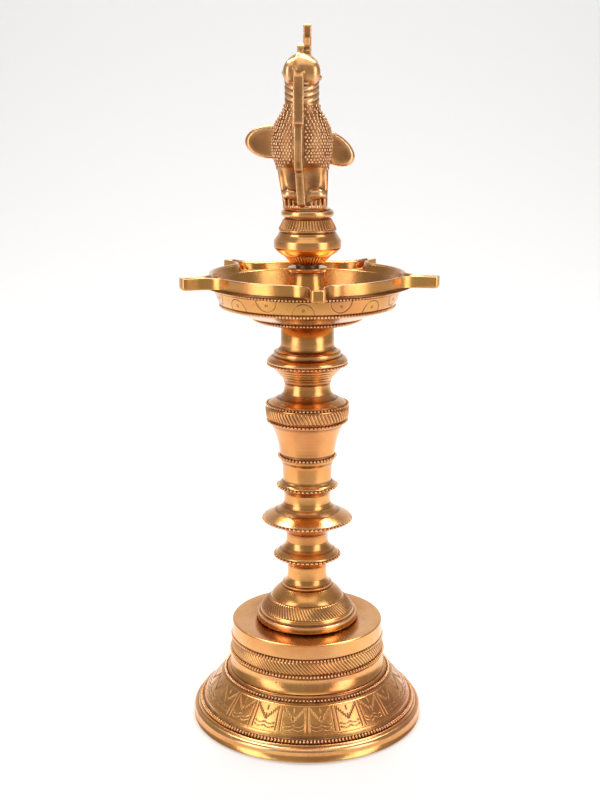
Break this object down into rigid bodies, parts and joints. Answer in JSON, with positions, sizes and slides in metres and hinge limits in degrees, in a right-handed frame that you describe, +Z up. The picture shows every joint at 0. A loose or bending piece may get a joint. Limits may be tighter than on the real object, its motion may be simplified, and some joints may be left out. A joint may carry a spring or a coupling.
{
  "type": "oil lamp",
  "caption": "Standing brass oil lamp: drum base, stem of screwed turned sections, shallow spouted oil bowl and a bird finial on a fluted pedestal.",
  "frame": {"origin": "on the lamp's axis, on the surface that it stands on", "axes": "+Z up along the lamp's axis, -Y to the front, where the bird faces, +X to the right"},
  "size_m": [0.1627, 0.1625, 0.4571],
  "materials": {
    "cast_brass": "cast, polished on the high spots, dark in the recesses",
    "turned_brass": "lathe turned and polished",
    "bowl_brass": "turned and engraved, a little stained inside",
    "thread_brass": "plain machined",
    "dark_brass": "tarnished"
  },
  "bodies": {
    "base": {"base_skirt": "cast_brass", "base_drum": "turned_brass", "base_stud": "thread_brass", "base_washer": "thread_brass", "base_nut": "thread_brass", "stem_foot": "turned_brass"},
    "stem_screw": {"stem_stud": "thread_brass"},
    "lower_stem": {"stem_baluster": "turned_brass"},
    "vase_screw": {"vase_stud": "thread_brass"},
    "upper_stem": {"stem_vase": "turned_brass", "neck_stud": "thread_brass", "stem_knop": "turned_brass", "socket_tube": "turned_brass"},
    "bowl_screw": {"bowl_stud": "thread_brass"},
    "bowl": {"drip_saucer": "turned_brass", "oil_bowl": "bowl_brass", "bowl_cone": "turned_brass"},
    "finial_screw": {"finial_stud": "dark_brass"},
    "finial": {"finial_pedestal": "cast_brass", "hamsa_bird": "cast_brass"}
  },
  "joints": [
    {"name": "stem_rise", "type": "slide", "parent": "base", "child": "stem_screw", "axis": [0, 0, 1], "range_m": [0, 0.0106]},
    {"name": "stem_turn", "type": "hinge", "parent": "stem_screw", "child": "lower_stem", "pos_m": [0, 0, 0.0936], "axis": [0, 0, 1], "range_deg": [0, 2520]},
    {"name": "vase_rise", "type": "slide", "parent": "lower_stem", "child": "vase_screw", "axis": [0, 0, 1], "range_m": [0, 0.0106]},
    {"name": "vase_turn", "type": "hinge", "parent": "vase_screw", "child": "upper_stem", "pos_m": [0, 0, 0.1784], "axis": [0, 0, 1], "range_deg": [0, 2520]},
    {"name": "bowl_rise", "type": "slide", "parent": "upper_stem", "child": "bowl_screw", "axis": [0, 0, 1], "range_m": [0, 0.0106]},
    {"name": "bowl_turn", "type": "hinge", "parent": "bowl_screw", "child": "bowl", "pos_m": [0, 0, 0.272], "axis": [0, 0, 1], "range_deg": [0, 2520]},
    {"name": "finial_rise", "type": "slide", "parent": "bowl", "child": "finial_screw", "axis": [0, 0, 1], "range_m": [0, 0.0106]},
    {"name": "finial_turn", "type": "hinge", "parent": "finial_screw", "child": "finial", "pos_m": [0, 0, 0.3085], "axis": [0, 0, 1], "range_deg": [0, 2520]}
  ],
  "couplings": [
    {"joint": "stem_rise", "follows": "stem_turn", "m_per_rad": 0.00023873},
    {"joint": "vase_rise", "follows": "vase_turn", "m_per_rad": 0.00023873},
    {"joint": "bowl_rise", "follows": "bowl_turn", "m_per_rad": 0.00023873},
    {"joint": "finial_rise", "follows": "finial_turn", "m_per_rad": 0.00023873}
  ]
}
